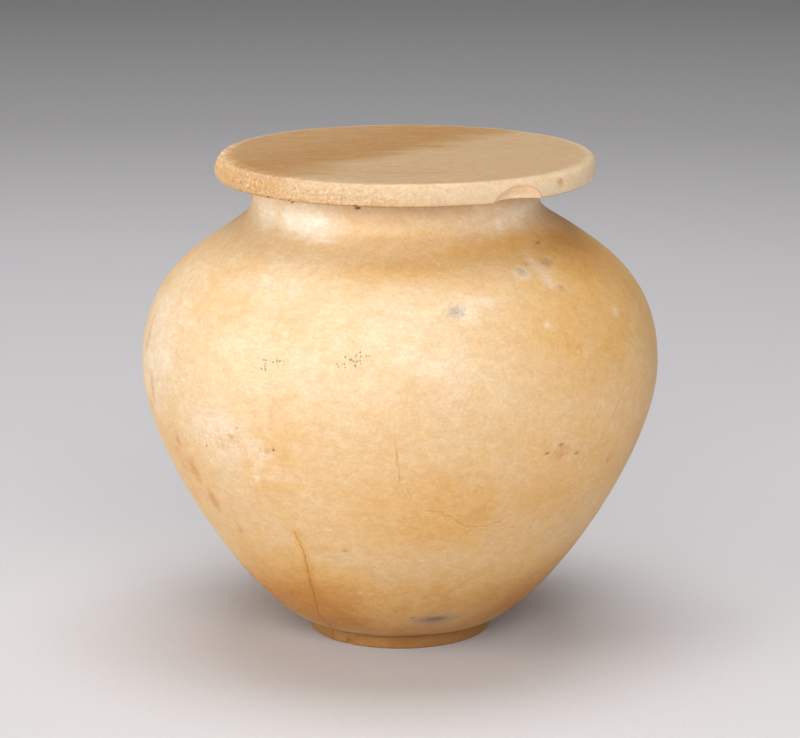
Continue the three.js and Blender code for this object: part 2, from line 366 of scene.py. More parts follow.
def jar_outside(s):
    """From the middle of the underside, up the outside and over the lip."""
    foot_corner = (s.foot_radius - s.foot_edge, s.foot_edge)
    groove_low = (s.foot_radius, s.foot_height - s.root_step / 2)
    groove_centre = (s.foot_radius + s.root_step, groove_low[1])
    sweep, hollow = jar_shoulder(s)
    lip = s.lip_edge
    lip_low = JAR_HIGH.z - lip
    neck_top = (s.neck_radius, lip_low)
    return join([
        (straight((0, 0), (foot_corner[0], 0)), 4.5 * MM),
        (arc(foot_corner, (s.foot_edge, s.foot_edge), -90, 0), 0.25 * MM),
        (straight((s.foot_radius, s.foot_edge), groove_low), 0.45 * MM),
        (arc(groove_centre, (s.root_step, s.root_step / 2), 180, 90), 0.2 * MM),
        (jar_flank(s), SKIN_SPACING),
        (sweep, SKIN_SPACING),
        (hollow, 0.5 * MM),
        (straight(hollow[-1], neck_top), 0.6 * MM),
        (arc((s.neck_radius - lip, lip_low), (lip, lip), 0, 90), 0.35 * MM),
        (straight((s.neck_radius - lip, JAR_HIGH.z), (s.mouth_radius + lip, JAR_HIGH.z)), 1.1 * MM),
        (arc((s.mouth_radius + lip, lip_low), (lip, lip), 90, 180), 0.4 * MM),
    ])


def jar_inside(s):
    """From the mouth down the cavity to the middle of its floor."""
    mouth_end = (s.mouth_radius, JAR_HIGH.z - s.mouth_depth)
    cavity = s.belly_radius - s.wall
    belly = (cavity, s.belly_height)
    roof = (mouth_end[0] + ROOF_REACH[0], mouth_end[1] + ROOF_REACH[1])
    above, below = (cavity, belly[1] + CAVITY_ABOVE), (cavity, belly[1] - CAVITY_BELOW)
    bore = straight((s.mouth_radius, JAR_HIGH.z - 2 * s.lip_edge), mouth_end)
    ceiling = cubic(mouth_end, roof, above, belly)
    bowl = cubic(belly, below, (CAVITY_FLOOR_REACH, s.floor), (0, s.floor))
    return join([(stretch, CAVITY_SPACING) for stretch in (bore, ceiling, bowl)])


def lid_outline(s):
    """From the middle of the boss, round the disc's edge to the middle of its top."""
    low = LID_HIGH.z - s.thickness
    boss_low = LID_LOW.z
    boss_corner = (s.boss_radius - s.boss_edge, boss_low + s.boss_edge)
    edge_in = s.radius - s.lower_edge
    top_in = s.radius - s.upper_edge
    waist = low + s.widest
    return join([
        (straight((0, boss_low), (boss_corner[0], boss_low)), 3.0 * MM),
        (arc(boss_corner, (s.boss_edge, s.boss_edge), -90, 0), 0.5 * MM),
        (straight((s.boss_radius, boss_corner[1]), (s.boss_radius, low)), 0.9 * MM),
        (straight((s.boss_radius, low), (edge_in - UNDER_STRIP, low)), 2.4 * MM),
        (straight((edge_in - UNDER_STRIP, low), (edge_in, low)), 0.5 * MM),
        (arc((edge_in, waist), (s.lower_edge, s.widest), -90, 0), 0.25 * MM),
        (arc((top_in, waist), (s.upper_edge, LID_HIGH.z - waist), 0, 90), 0.3 * MM),
        (straight((top_in, LID_HIGH.z), (top_in - TOP_STRIP, LID_HIGH.z)), 0.5 * MM),
        (straight((top_in - TOP_STRIP, LID_HIGH.z), (0, LID_HIGH.z)), 1.8 * MM),
    ])


# ---- Turned meshes -----------------------------------------------


def smooth_step(value, start, end):
    """0 before start, 1 after end, and an even swing between."""
    t = np.clip((value - start) / (end - start), 0.0, 1.0)
    return t * t * (3 - 2 * t)


CROWDED_TO, EVEN_FROM = 1.45, 2.0  # radians from the front


def column_angles(count, front_crowding):
    """Angles all round, crowded towards the front by that many times."""
    fine = np.linspace(-math.pi, math.pi, 20 * count + 1)
    crowding = 1 + (front_crowding - 1) * (1 - smooth_step(np.abs(fine), CROWDED_TO, EVEN_FROM))
    total = np.concatenate([[0.0], np.cumsum((crowding[1:] + crowding[:-1]) / 2)])
    return np.interp(np.arange(count) / count * total[-1], total, fine)


def rings(outline, angles):
    """Points of every ring that the outline's points draw round the axis."""
    radius = outline[:, 0][:, None]
    height = np.repeat(outline[:, 1][:, None], len(angles), 1)
    return np.stack([radius * np.sin(angles), -radius * np.cos(angles), height], 2)


def ring_faces(first, rows, columns):
    """Four-sided faces between neighbouring rings, from vertex number first on."""
    row, column = np.meshgrid(np.arange(rows - 1), np.arange(columns), indexing="ij")
    here = first + row * columns + column
    beside = first + row * columns + (column + 1) % columns
    faces = np.stack([here, beside, beside + columns, here + columns], 2)
    return faces.reshape(-1, 4).tolist()


def closing_fan(pole, ring_start, columns, pole_first):
    """Triangles from the axis to a ring."""
    faces = []
    for column in range(columns):
        here, beside = ring_start + column, ring_start + (column + 1) % columns
        faces.append((pole, beside, here) if pole_first else (here, beside, pole))
    return faces


def coarsening_strip(fine_start, coarse_start, coarse_count, ratio):
    """Triangles between a fine ring and a coarser one that has one vertex for each ratio."""
    faces = []
    fine_count = coarse_count * ratio
    for k in range(coarse_count):
        coarse, coarse_next = coarse_start + k, coarse_start + (k + 1) % coarse_count
        for step in range(ratio):
            here = fine_start + k * ratio + step
            beside = fine_start + (k * ratio + step + 1) % fine_count
            faces.append((here, beside, coarse if step < ratio // 2 else coarse_next))
            if step == ratio // 2 - 1:
                faces.append((beside, coarse_next, coarse))
    return faces


def turned_mesh(name, outside, angles, inside=None, ratio=4):
    """A closed mesh turned from an outline; an inside outline gets fewer columns."""
    columns = len(angles)
    outer = rings(outside[1:] if inside is not None else outside[1:-1], angles)
    rows = len(outer)
    points = [np.array([[0.0, 0.0, outside[0, 1]]]), outer.reshape(-1, 3)]
    faces = closing_fan(0, 1, columns, True) + ring_faces(1, rows, columns)
    last_ring = 1 + (rows - 1) * columns
    if inside is None:
        pole = 1 + rows * columns
        points.append(np.array([[0.0, 0.0, outside[-1, 1]]]))
        faces += closing_fan(pole, last_ring, columns, False)
    else:
        coarse = columns // ratio
        inner = rings(inside[:-1], angles[::ratio])
        start = 1 + rows * columns
        pole = start + len(inner) * coarse
        points += [inner.reshape(-1, 3), np.array([[0.0, 0.0, inside[-1, 1]]])]
        faces += coarsening_strip(last_ring, start, coarse, ratio)
        faces += ring_faces(start, len(inner), coarse)
        faces += closing_fan(pole, pole - coarse, coarse, False)
    mesh = bpy.data.meshes.new(name)
    mesh.from_pydata(np.concatenate(points).tolist(), [], faces)
    return mesh


def refine(mesh, zones):
    """Halves the edges inside each zone in turn; a zone marks the points that belong to it."""
    bench = bmesh.new()
    bench.from_mesh(mesh)
    for zone in zones:
        chosen = zone(np.array([vertex.co for vertex in bench.verts]))
        bench.verts.index_update()
        edges = [
            edge for edge in bench.edges
            if chosen[edge.verts[0].index] or chosen[edge.verts[1].index]
        ]
        bmesh.ops.subdivide_edges(bench, edges=edges, cuts=1, use_grid_fill=True)
    bench.to_mesh(mesh)
    bench.free()


def read_vertices(mesh, what):
    """Every vertex's place ("co") or outward direction ("normal")."""
    flat = np.empty(len(mesh.vertices) * 3)
    mesh.vertices.foreach_get(what, flat)
    return flat.reshape(-1, 3)


def set_points(mesh, points):
    """Moves every vertex."""
    mesh.vertices.foreach_set("co", points.astype(np.float32).ravel())
    mesh.update()


def keep_values(mesh, **fields):
    """Stores numbers for each vertex, which the stone's material reads by name."""
    for name, values in fields.items():
        layer = mesh.attributes.new(name, "FLOAT", "POINT")
        layer.data.foreach_set("value", values.astype(np.float32))


# ---- Places and fields on a turned surface -----------------------


def around(angle, reach, height, centre_x=0.0):
    """The point at an angle in degrees, a distance from the axis and a height."""
    turn = math.radians(angle)
    return np.array([centre_x + reach * math.sin(turn), -reach * math.cos(turn), height])


class Surface:
    """Finds points, directions and distances on a turned outside surface."""

    def __init__(self, outline, centre_x=0.0):
        self.outline = outline
        self.centre_x = centre_x

    def radius_at(self, height):
        """Radius of the outside at a height."""
        return float(np.interp(height, self.outline[:, 1], self.outline[:, 0]))

    def point(self, angle, height_mm):
        """The point at an angle in degrees and a height in millimetres."""
        height = height_mm * MM
        return around(angle, self.radius_at(height), height, self.centre_x)

    def directions(self, angle, height_mm):
        """Unit vectors along the ring and up the surface at a point."""
        turn = math.radians(angle)
        along = np.array([math.cos(turn), math.sin(turn), 0.0])
        step = 0.3
        rise = self.point(angle, height_mm + step) - self.point(angle, height_mm - step)
        return along, rise / np.linalg.norm(rise)

    def marks(self, points, marks, combine=np.maximum):
        """Several soft oval marks at each point: the strongest, or their sum with np.add."""
        field = np.zeros(len(points))
        for angle, height, half_width, half_height, strength in marks:
            offset = points - self.point(angle, height)
            along, up = self.directions(angle, height)
            across = (offset @ along / (half_width * MM)) ** 2
            upward = (offset @ up / (half_height * MM)) ** 2
            depth = np.linalg.norm(offset, axis=1) / (2.5 * max(half_width, half_height) * MM)
            oval = np.exp(-(across + upward) * 0.7) * (depth < 1)
            field = combine(field, strength * oval)
        return field

    def wandering_line(self, places, seed, wander=0.22):
        """A line through places on the surface, with the small wander of a real crack."""
        draw = random.Random(seed)
        line = []
        for (angle, height), (next_angle, next_height) in zip(places, places[1:]):
            start, end = self.point(angle, height), self.point(next_angle, next_height)
            steps = max(1, round(np.linalg.norm(end - start) / (0.7 * MM)))
            for step in range(steps):
                t = (step + (draw.uniform(-0.25, 0.25) if step else 0.0)) / steps
                jog = draw.uniform(-wander, wander) if step else 0.0
                spot_angle = angle + (next_angle - angle) * t
                spot_angle += math.degrees(jog * MM / self.radius_at(start[2]))
                line.append(self.point(spot_angle, height + (next_height - height) * t + jog))
        line.append(self.point(*places[-1]))
        return np.array(line)


def fading(distance, width):
    """1 where the distance is nothing, fading away over about that width."""
    return np.exp(-((distance / width) ** 2))


def distance_to_line(points, line):
    """Shortest distance from each point to a broken line."""
    best = np.full(len(points), 1.0)
    for start, end in zip(line, line[1:]):
        span = end - start
        t = np.clip((points - start) @ span / max(span @ span, 1e-12), 0.0, 1.0)
        best = np.minimum(best, np.linalg.norm(points - start - t[:, None] * span, axis=1))
    return best


def distance_to_spots(points, spots):
    """Shortest distance from each point to any of several spots."""
    best = np.full(len(points), 1.0)
    for spot in spots:
        best = np.minimum(best, np.linalg.norm(points - spot, axis=1))
    return best


def rough_field(points, size, octaves, stretch=(1.0, 1.0, 1.0), shift=0.0):
    """Layered noise from about -1 to 1, with features of that size."""
    scaled = points / size * np.array(stretch) + shift
    return np.array([noise.fractal(Vector(p), 1.0, 2.0, octaves) for p in scaled])


def scoop(points, centre, radius):
    """Presses the points inside a ball out to its surface, as a flake leaves a hollow."""
    offset = points - centre
    distance = np.linalg.norm(offset, axis=1)
    inside = distance < radius
    pushed = offset[inside] / np.maximum(distance[inside], 1e-9)[:, None] * radius
    points = points.copy()
    points[inside] = centre + pushed
    return points, inside


# ---- Node bench --------------------------------------------------


class Bench:
    """Places shader nodes in one tree and joins them."""

    def __init__(self, tree):
        self.tree = tree

    def node(self, kind, inputs=None, **settings):
        """A node with settings, and inputs by name or number."""
        made = self.tree.nodes.new(kind)
        for name, value in settings.items():
            setattr(made, name, value)
        for key, value in (inputs or {}).items():
            socket = made.inputs[key]
            if isinstance(value, bpy.types.NodeSocket):
                self.tree.links.new(value, socket)
            elif socket.type == "RGBA" and len(value) == 3:
                socket.default_value = (*value, 1.0)
            else:
                socket.default_value = value
        return made

    def math(self, operation, first, second=0.0, third=0.0, clamp=False):
        """One sum on numbers."""
        inputs = {0: first, 1: second, 2: third}
        made = self.node("ShaderNodeMath", inputs, operation=operation, use_clamp=clamp)
        return made.outputs[0]

    def scaled(self, vector, scale):
        """A vector multiplied part by part."""
        inputs = {0: vector, 1: scale}
        return self.node("ShaderNodeVectorMath", inputs, operation="MULTIPLY").outputs[0]

    def compared(self, operation, first, second):
        """One number from two vectors."""
        inputs = {0: first, 1: second}
        made = self.node("ShaderNodeVectorMath", inputs, operation=operation)
        return made.outputs["Value"]

    def noise(self, vector, scale, detail=3.0, roughness=0.5, distortion=0.0):
        """Cloudy noise from 0 to 1."""
        inputs = {
            "Vector": vector, "Scale": scale, "Detail": detail,
            "Roughness": roughness, "Distortion": distortion,
        }
        return self.node("ShaderNodeTexNoise", inputs).outputs["Fac"]

    def swing(self, value, start, end, low=0.0, high=1.0):
        """Maps start to low and end to high with soft ends, and clamps."""
        inputs = {0: value, 1: start, 2: end, 3: low, 4: high}
        made = self.node("ShaderNodeMapRange", inputs, interpolation_type="SMOOTHSTEP")
        return made.outputs[0]

    def mix(self, amount, first, second, blend="MIX"):
        """One colour over another."""
        inputs = {0: amount, 6: first, 7: second}
        made = self.node("ShaderNodeMix", inputs, data_type="RGBA", blend_type=blend)
        return made.outputs[2]

    def over(self, colour, upper, mask, strength):
        """A second colour laid over the first where a mask says."""
        return self.mix(self.math("MULTIPLY", mask, strength), colour, upper)

    def stored(self, name):
        """A value kept on the mesh."""
        return self.node("ShaderNodeAttribute", attribute_name=name).outputs["Fac"]

    def use(self, group, **inputs):
        """A shared effect with its own values."""
        return self.node("ShaderNodeGroup", inputs, node_tree=group).outputs

    def show(self, kind, inputs):
        """A surface shader, joined to the material's output."""
        surface = self.node(kind, inputs).outputs[0]
        self.node("ShaderNodeOutputMaterial", {"Surface": surface})


SOCKET_KINDS = {
    "float": "NodeSocketFloat", "vector": "NodeSocketVector", "colour": "NodeSocketColor",
}


def new_group(name, inputs, outputs):
    """An empty shader node group, its input sockets and its output node."""
    tree = bpy.data.node_groups.new(name, "ShaderNodeTree")
    for label, kind in inputs.items():
        tree.interface.new_socket(label, in_out="INPUT", socket_type=SOCKET_KINDS[kind])
    for label, kind in outputs.items():
        tree.interface.new_socket(label, in_out="OUTPUT", socket_type=SOCKET_KINDS[kind])
    bench = Bench(tree)
    return bench, bench.node("NodeGroupInput").outputs, bench.node("NodeGroupOutput")


def finish_group(bench, output, **values):
    """Feeds a group's outputs and returns the group."""
    for label, socket in values.items():
        bench.tree.links.new(socket, output.inputs[label])
    return bench.tree


def clouded_stone_group():
    """Warm zones, pale wisps, mottling and flecks over a body colour."""
    bench, given, output = new_group(
        "Clouded Stone",
        {
            "Position": "vector", "Body": "colour", "Warm": "colour", "Deep": "colour",
            "Pale": "colour", "Warmth": "float", "Paleness": "float", "Size": "float",
        },
        {"Color": "colour", "Mottle": "float"},
    )
    place = bench.scaled(given["Position"], (1.0, 1.0, 1.25))
    broad = bench.noise(place, bench.math("DIVIDE", 1.0, given["Size"]), 6.0, 0.6, 0.5)
    warmth = bench.math("MULTIPLY_ADD", broad, 1.0, bench.math("SUBTRACT", given["Warmth"], 1.06))
    veins = bench.noise(place, 0.14, 6.0, 0.62, 0.8)
    warmth = bench.math("MULTIPLY_ADD", veins, 0.85, warmth)
    spots = bench.noise(place, 0.75, 3.0, 0.6)
    warmth = bench.math("MULTIPLY_ADD", spots, 0.12, warmth)
    warm_share = bench.math("ADD", warmth, 0.0, clamp=True)
    deep_share = bench.math("SUBTRACT", warmth, 1.0, clamp=True)
    colour = bench.mix(warm_share, given["Body"], given["Warm"])
    colour = bench.mix(deep_share, colour, given["Deep"])
    wisp_place = bench.scaled(given["Position"], (0.55, 0.55, 1.0))
    wisp_scale = bench.math("DIVIDE", 2.6, given["Size"])
    wisps = bench.noise(wisp_place, wisp_scale, 7.0, 0.62, 1.4)
    pale_share = bench.swing(bench.math("ADD", wisps, given["Paleness"]), 0.6, 1.4)
    colour = bench.mix(pale_share, colour, given["Pale"])
    coarse = bench.noise(place, 0.5, 3.0, 0.55)
    fine = bench.noise(place, 1.5, 4.0, 0.65)
    coarse_tone = bench.swing(coarse, 0.3, 0.7, 0.95, 1.03)
    fine_tone = bench.swing(fine, 0.3, 0.7, 0.93, 1.04)
    value = bench.math("MULTIPLY", coarse_tone, fine_tone)
    # Darker grain is warmer too.
    green, blue = bench.math("POWER", value, 1.5), bench.math("POWER", value, 2.2)
    tint = bench.node("ShaderNodeCombineColor", {0: value, 1: green, 2: blue}).outputs[0]
    colour = bench.mix(1.0, colour, tint, "MULTIPLY")
    fleck_place = bench.scaled(given["Position"], (0.8, 0.8, 1.3))
    flecks = bench.swing(bench.noise(fleck_place, 1.1, 2.0, 0.5, 0.8), 0.62, 0.78)
    colour = bench.over(colour, given["Pale"], flecks, 0.3)
    return finish_group(bench, output, Color=colour, Mottle=fine)


def ripple_group():
    """Fine wavering lines left by rubbing, along one direction."""
    bench, given, output = new_group(
        "Rubbing Ripples",
        {"Position": "vector", "Stretch": "vector", "Amount": "float"},
        {"Height": "float", "Tone": "float"},
    )
    drift = bench.noise(given["Position"], 0.12, 2.0)
    lines = bench.noise(bench.scaled(given["Position"], given["Stretch"]), 1.0, 2.0, 0.5, 0.35)
    patchy = bench.math("MULTIPLY", bench.swing(drift, 0.35, 0.65), given["Amount"])
    height = bench.math("MULTIPLY", bench.math("SUBTRACT", lines, 0.5), patchy)
    return finish_group(bench, output, Height=height, Tone=lines)


def broken_mark_group():
    """A soft mark broken up into the grains of the stone."""
    bench, given, output = new_group(
        "Broken Mark",
        {"Position": "vector", "Mark": "float", "Grain": "float", "Edge": "float"},
        {"Mask": "float"},
    )
    grain = bench.noise(given["Position"], bench.math("DIVIDE", 1.0, given["Grain"]), 4.0, 0.65)
    level = bench.math("SUBTRACT", 1.0, given["Mark"])
    start = bench.math("SUBTRACT", level, given["Edge"])
    end = bench.math("ADD", level, given["Edge"])
    broken = bench.swing(grain, start, end)
    present = bench.swing(given["Mark"], 0.04, 0.3)
    return finish_group(bench, output, Mask=bench.math("MULTIPLY", broken, present))


def speck_group():
    """Scattered tiny dark specks."""
    bench, given, output = new_group(
        "Scattered Specks",
        {"Position": "vector", "Spacing": "float", "Share": "float", "Width": "float"},
        {"Mask": "float"},
    )
    inputs = {
        "Vector": given["Position"], "Scale": bench.math("DIVIDE", 1.0, given["Spacing"]),
        "Randomness": 1.0,
    }
    cells = bench.node("ShaderNodeTexVoronoi", inputs)
    pick = bench.node("ShaderNodeSeparateColor", {0: cells.outputs["Color"]}).outputs[0]
    chosen = bench.math("LESS_THAN", pick, given["Share"])
    dot = bench.swing(cells.outputs["Distance"], 0.0, given["Width"], 1.0, 0.0)
    return finish_group(bench, output, Mask=bench.math("MULTIPLY", chosen, dot))


EFFECTS = {
    "Clouded Stone": clouded_stone_group, "Rubbing Ripples": ripple_group,
    "Broken Mark": broken_mark_group, "Scattered Specks": speck_group,
}


def effect(name):
    """A shared effect, built the first time that it is asked for."""
    return bpy.data.node_groups.get(name) or EFFECTS[name]()


# ---- Materials ---------------------------------------------------


def new_material(name):
    """A material with no nodes yet, and the bench to fill it."""
    material = bpy.data.materials.new(name)
    material.use_nodes = True
    material.node_tree.nodes.clear()
    return material, Bench(material.node_tree)


def place_in_mm(bench):
    """Where a point lies on the object, in millimetres."""
    coordinates = bench.node("ShaderNodeTexCoord").outputs["Object"]
    return bench.scaled(coordinates, (1 / MM, 1 / MM, 1 / MM))


def stone_shader(bench, look, colour, roughness, height):
    """Rubbed stone that lets some light in."""
    bump = bench.node("ShaderNodeBump", {"Strength": 1.0, "Distance": MM, "Height": height})
    bench.show("ShaderNodeBsdfPrincipled", {
        "Base Color": colour,
        "Roughness": roughness,
        "Normal": bump.outputs["Normal"],
        "IOR": 1.52,
        "Specular IOR Level": 0.42,
        "Subsurface Weight": look.glow,
        "Subsurface Radius": (1.0, 0.72, 0.45),
        "Subsurface Scale": look.glow_depth,
    })


def body_stone(bench, place, look, **given):
    """The clouded stone, warm where the mesh says."""
    return bench.use(
        effect("Clouded Stone"), Position=place, Warm=look.honey, Deep=look.amber,
        Pale=look.cloud_and_highlight, Warmth=bench.stored("honey"), **given,
    )


def broken_mark(bench, place, name, grain, edge):
    """A mark kept on the mesh, broken up by the stone's grain."""
    mark = bench.stored(name)
    return bench.use(
        effect("Broken Mark"), Position=place, Mark=mark, Grain=grain, Edge=edge
    )["Mask"]


def add_dirt_and_shade(bench, place, colour, look):
    """Painted shade with grime, rust, grey weathering, soil, cracks, pinholes and specks; also says
    where they lie.
    """
    # Painted shade, with some real grime: the stored value darkens the colour towards soil.
    colour = bench.mix(bench.stored("grime"), colour, look.soil)
    colour = bench.over(colour, look.rust, broken_mark(bench, place, "rust", 0.9, 0.3), 0.7)
    grey = broken_mark(bench, place, "grey", 0.4, 0.32)
    colour = bench.over(colour, look.grey, grey, 0.7)
    seam = bench.math("MULTIPLY", bench.stored("crack"), 0.85)
    colour = bench.mix(seam, colour, look.rust)
    soil = broken_mark(bench, place, "soil", 0.35, 0.2)
    specks = bench.use(
        effect("Scattered Specks"), Position=place, Spacing=2.2, Share=0.2, Width=0.05
    )["Mask"]
    dark = bench.math("MAXIMUM", soil, bench.math("MULTIPLY", specks, 0.45))
    dark = bench.math("MAXIMUM", dark, bench.stored("pinhole"))
    colour = bench.over(colour, look.soil, dark, 0.85)
    return colour, bench.math("MAXIMUM", grey, bench.math("MAXIMUM", dark, seam))


def rubbed_finish(bench, look, mottle, ripples, dirty, polish, grain_depth):
    """Roughness and height of the stone: polished, with a grain, and dull where dirty."""
    rough = bench.math("MULTIPLY_ADD", mottle, 0.12, look.roughness - polish)
    rough = bench.math("MULTIPLY_ADD", dirty, 0.25, rough)
    grain = bench.math("MULTIPLY", mottle, grain_depth)
    return rough, bench.math("ADD", ripples["Height"], grain)


def jar_material(look):
    """Cream to honey stone with horizontal rubbing marks."""
    material, bench = new_material("Jar Stone")
    place = place_in_mm(bench)
    # The stored pale marks hold painted highlight as well as pale stone.
    pale_and_highlight = bench.math("MULTIPLY", bench.stored("pale"), 0.8)
    stone = body_stone(bench, place, look, Body=look.cream, Paleness=pale_and_highlight, Size=24.0)
    ripples = bench.use(
        effect("Rubbing Ripples"), Position=place, Stretch=(0.3, 0.3, 1.5), Amount=0.12
    )
    tone = bench.swing(ripples["Tone"], 0.35, 0.7, 0.0, 0.16)
    colour = bench.mix(tone, stone["Color"], look.honey)
    colour, dirty = add_dirt_and_shade(bench, place, colour, look)
    rough, height = rubbed_finish(bench, look, stone["Mottle"], ripples, dirty, 0.06, 0.05)
    stone_shader(bench, look, colour, rough, height)
    return material


def lid_body(bench, place, look):
    """Tan stone, a soft brown band across it, and painted light: a paler side and a paler flake."""
    across = bench.compared("DOT_PRODUCT", place, (0.79, -0.61, 0.0))
    wander = bench.noise(bench.scaled(place, (0.4, 1.0, 1.0)), 0.11, 6.0, 0.62)
    band = bench.math("MULTIPLY_ADD", wander, 22.0, bench.math("SUBTRACT", across, 11.0))
    brown_side = bench.swing(band, 5.0, -9.0, 0.0, 0.55)
    deep = bench.math("MULTIPLY", bench.swing(band, 4.0, -6.0), bench.swing(band, -28.0, -8.0))
    body = bench.mix(brown_side, look.tan, look.umber)
    body = bench.over(body, look.umber, deep, 0.6)
    # Painted light: the stored side value pales the lid's side towards cream.
    body = bench.mix(bench.stored("side"), body, look.cream)
    # Painted light: the flake's hollow is paler than its shade would let it be.
    return bench.mix(bench.stored("flake"), body, look.lit_flake)


def lid_material(look):
    """Tan stone with a brown band, fine streaks along its top and a granular edge."""
    material, bench = new_material("Lid Stone")
    place = place_in_mm(bench)
    body = lid_body(bench, place, look)
    stone = body_stone(bench, place, look, Body=body, Paleness=-0.05, Size=16.0)
    streaks = bench.use(
        effect("Rubbing Ripples"), Position=place, Stretch=(0.12, 1.6, 1.6), Amount=0.05
    )
    tone = bench.swing(streaks["Tone"], 0.35, 0.75, 0.0, 0.2)
    colour = bench.mix(tone, stone["Color"], look.cream)
    wear = broken_mark(bench, place, "wear", 1.6, 0.3)
    colour = bench.over(colour, look.cloud_and_highlight, wear, 0.22)
    grains = bench.noise(place, 2.4, 3.0, 0.6)
    granular = bench.stored("granular")
    pores = bench.math("MULTIPLY", bench.swing(grains, 0.5, 0.34), granular)
    colour = bench.over(colour, look.umber, pores, 0.45)
    crumbs = bench.math("MULTIPLY", bench.swing(grains, 0.56, 0.7), granular)
    colour = bench.over(colour, look.cloud_and_highlight, crumbs, 0.7)
    colour, dirty = add_dirt_and_shade(bench, place, colour, look)
    rough, height = rubbed_finish(bench, look, stone["Mottle"], streaks, dirty, 0.04, 0.04)
    rough = bench.math("MULTIPLY_ADD", granular, 0.2, rough)
    height = bench.math("MULTIPLY_ADD", bench.math("MULTIPLY", grains, granular), 0.25, height)
    stone_shader(bench, look, colour, rough, height)
    return material


# Painted fall-off of light on the paper: distance from its brightest place (metres) and lightness.
PAPER_FALLOFF_TONES = [
    (0.0, 0.60), (0.14, 0.62), (0.25, 0.60), (0.4, 0.58), (0.65, 0.48), (0.95, 0.48), (1.3, 0.46),
]
PAPER_REACH = PAPER_FALLOFF_TONES[-1][0]
PAPER_GRAIN = (0.2, 0.2, 0.2)


def stage_material(look):
    """Pale paper with a painted fall-off of light, darker with distance."""
    material, bench = new_material("Stage Paper")
    place = bench.node("ShaderNodeTexCoord").outputs["Object"]
    from_middle = bench.compared("DISTANCE", place, look.painted_light_middle)
    reach = bench.math("DIVIDE", from_middle, PAPER_REACH, clamp=True)
    ramp = bench.node("ShaderNodeValToRGB", {"Fac": reach})
    stops = ramp.color_ramp.elements
    while len(stops) < len(PAPER_FALLOFF_TONES):
        stops.new(0.5)
    for stop, (distance, tone) in zip(stops, PAPER_FALLOFF_TONES):
        stop.position = distance / PAPER_REACH
        stop.color = (*(tone * part for part in look.paper_tint), 1.0)
    grain = bench.swing(bench.noise(place, 1400.0, 2.0), 0.3, 0.7, 0.0, 0.05)
    colour = bench.mix(grain, ramp.outputs["Color"], PAPER_GRAIN)
    bench.show("ShaderNodeBsdfPrincipled", {"Base Color": colour, "Roughness": 0.9})
    return material


# ---- Pieces ------------------------------------------------------


def add_piece(name, mesh, material, node):
    """Puts a finished mesh in the scene in place of its node."""
    mesh.polygons.foreach_set("use_smooth", np.ones(len(mesh.polygons), bool))
    mesh.materials.append(material)
    piece = bpy.data.objects.new(name, mesh)
    bpy.context.scene.collection.objects.link(piece)
    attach(piece, BODY)
    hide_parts(node)


PINHOLE_RADII = (0.08, 0.16)  # millimetres


def cluster_spots(surface, clusters, seed):
    """Centres and radii of the pinholes in each cluster."""
    draw = random.Random(seed)
    spots, radii = [], []
    for angle, height, half_width, half_height, count in clusters:
        reach = surface.radius_at(height * MM) / MM
        for _ in range(count):
            turn, out = draw.uniform(0, 2 * math.pi), math.sqrt(draw.random())
            across = math.degrees(out * math.cos(turn) * half_width / reach)
            spots.append(surface.point(angle + across, height + out * math.sin(turn) * half_height))
            radii.append(draw.uniform(*PINHOLE_RADII) * MM)
    return spots, radii


def pinhole_field(points, spots, radii):
    """How deep each point lies in a pinhole, from 0 to 1."""
    field = np.zeros(len(points))
    for spot, radius in zip(spots, radii):
        field = np.maximum(field, fading(np.linalg.norm(points - spot, axis=1), radius))
    return field


DRIFT_START = 78.5 * MM  # the neck starts to drift to one side at this height


def drift_neck(points, s):
    """The neck was cut a little to one side of the foot."""
    top = JAR_HIGH.z - s.neck_straight
    moved = points.copy()
    moved[:, 0] -= s.neck_offset * smooth_step(points[:, 2], DRIFT_START, top)
    return moved


JAR_COLUMNS, JAR_CROWDING = 372, 3.2
BROAD_WAVE, FINE_WAVE, FINE_WAVE_DEPTH = 21 * MM, 7 * MM, 0.018 * MM  # left by carving by hand
GREY_GRAIN, GREY_DEPTH = 0.8 * MM, 0.05 * MM  # weathering of the grey patches
CRACK_GRAIN = 1.6 * MM
SCRATCH_SEED, SCRATCH_WANDER = 90, 0.06
PINHOLE_SEED, PINHOLE_DEPTH = 7, 0.16 * MM
DRILL_DEPTH = 0.12 * MM
HALO_WIDTH, HALO_STRENGTH, HALO_FROM = 0.9 * MM, 0.4, 0.8  # the stain along the darkest cracks
FOOT_DARKENING_HEIGHTS = (2.2, 4.5)  # where the darkening of the foot fades out, in millimetres: painted shade under the body, with dirt


def crack_fields(points, lines):
    """How deep the cracks cut, how dark they are and how strong the stain beside them is."""
    cuts, mask, halo = np.zeros((3, len(points)))
    broken = 0.55 + 0.45 * np.clip(rough_field(points, CRACK_GRAIN, 1, shift=9.0) * 3, -1, 1)
    for name, line in lines.items():
        width, depth, darkness = CRACK_KINDS[name]
        distance = distance_to_line(points, line)
        groove = fading(distance, width * MM)
        cuts += groove * depth * MM
        mask = np.maximum(mask, groove * darkness * broken)
        if darkness > HALO_FROM:
            halo = np.maximum(halo, fading(distance, HALO_WIDTH) * HALO_STRENGTH)
    return cuts, mask, halo


